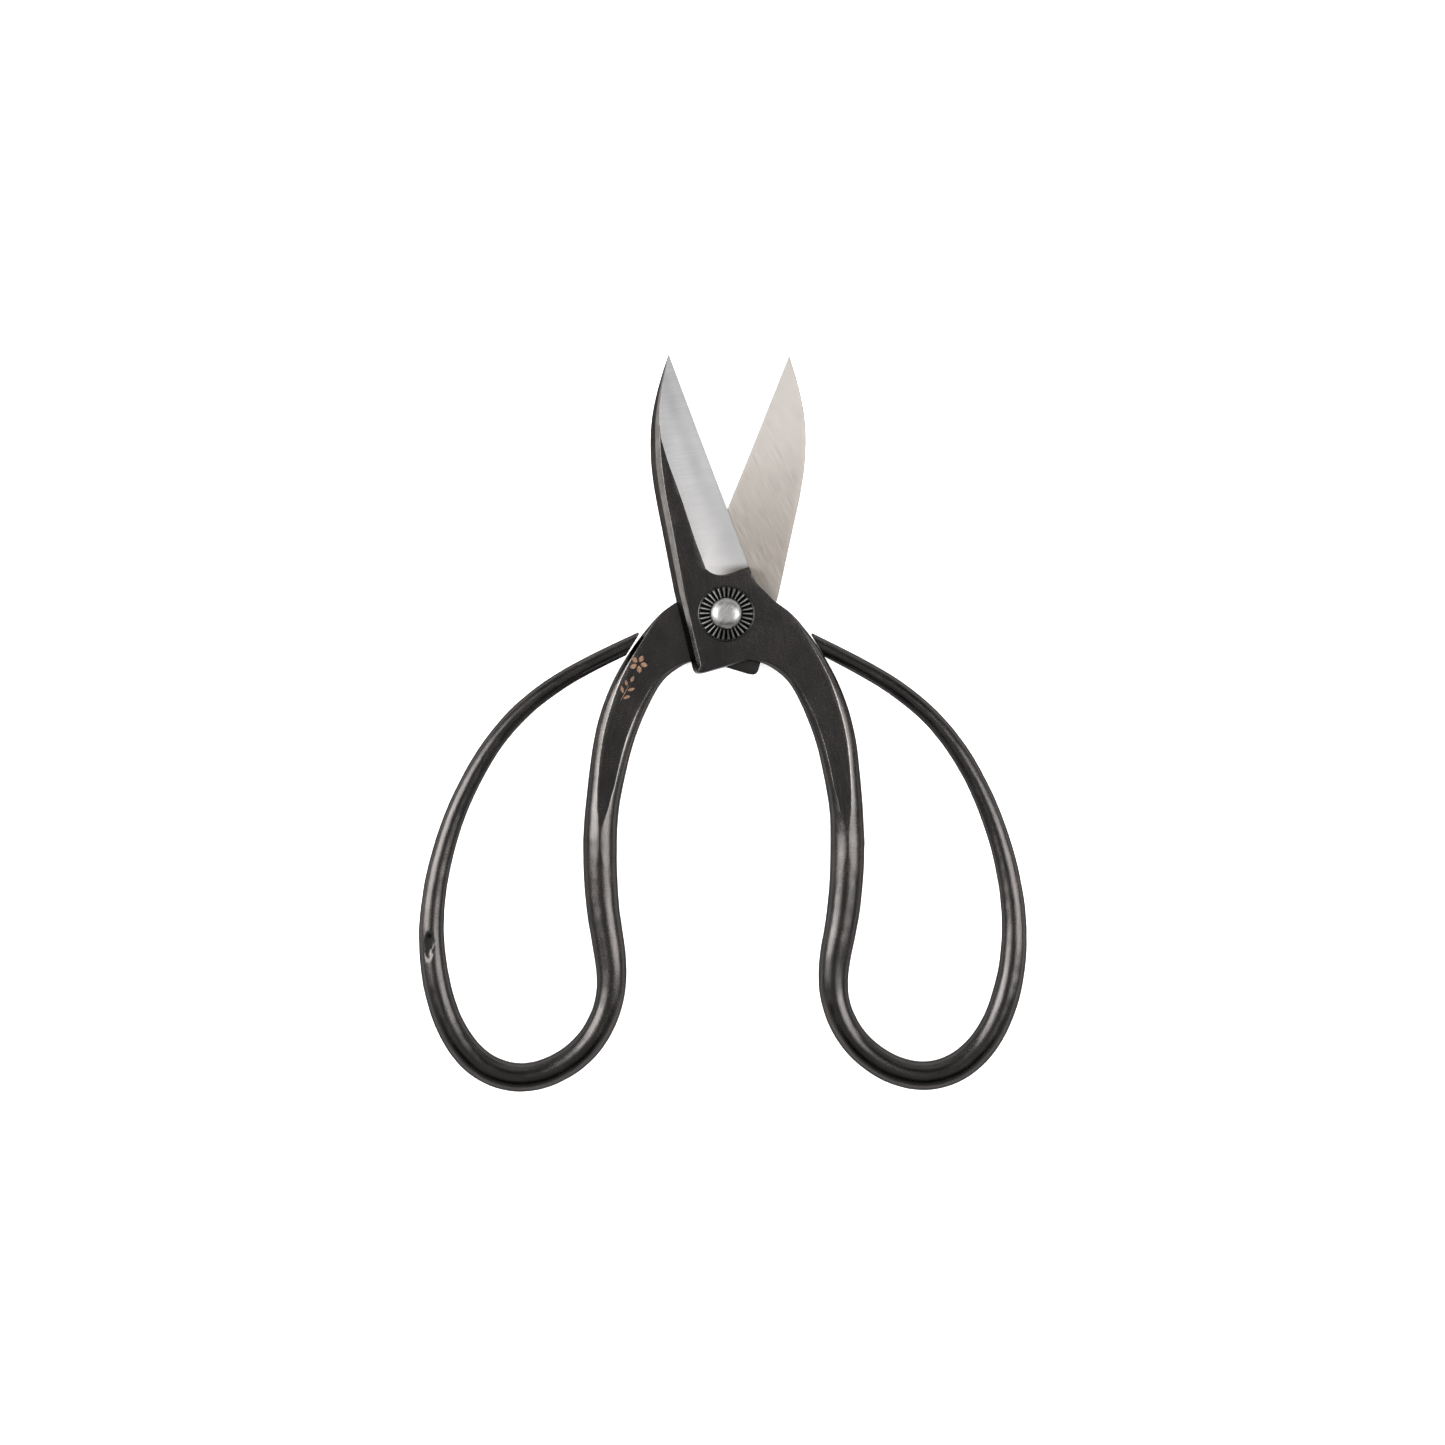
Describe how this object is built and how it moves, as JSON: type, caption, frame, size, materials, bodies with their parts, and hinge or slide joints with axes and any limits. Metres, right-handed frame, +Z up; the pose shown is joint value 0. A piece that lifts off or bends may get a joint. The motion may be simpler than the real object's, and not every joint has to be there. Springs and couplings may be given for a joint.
{
  "type": "floral snips",
  "caption": "Forged floral snips: two black blade halves with ground bevels and long open finger bows, riveted through ribbed crown washers.",
  "frame": {"origin": "centre of the bounding box's bottom face, with the snips lying flat and part open", "axes": "+Y from the bows towards the blade tips, +Z up out of the front half's outer face, +X towards the front half's bow"},
  "size_m": [0.1406, 0.1701, 0.0146],
  "materials": {
    "black_forging": "black forging scale, brushed along the flats and rubbed bright on the edges, with a bare cross-ground bevel",
    "rivet_steel": "bare steel, peened and scratch-brushed dome",
    "black_washer": "gloss black"
  },
  "bodies": {
    "rear": {"rear_half": "black_forging", "pivot_rivet": "rivet_steel", "front_crown_washer": "black_washer", "rear_crown_washer": "black_washer"},
    "front": {"front_half": "black_forging"}
  },
  "joints": [
    {"name": "pivot", "type": "hinge", "parent": "rear", "child": "front", "pos_m": [0, 0.02505, 0.00728], "axis": [0, 0, 1], "range_deg": [-28.3, 55]}
  ]
}
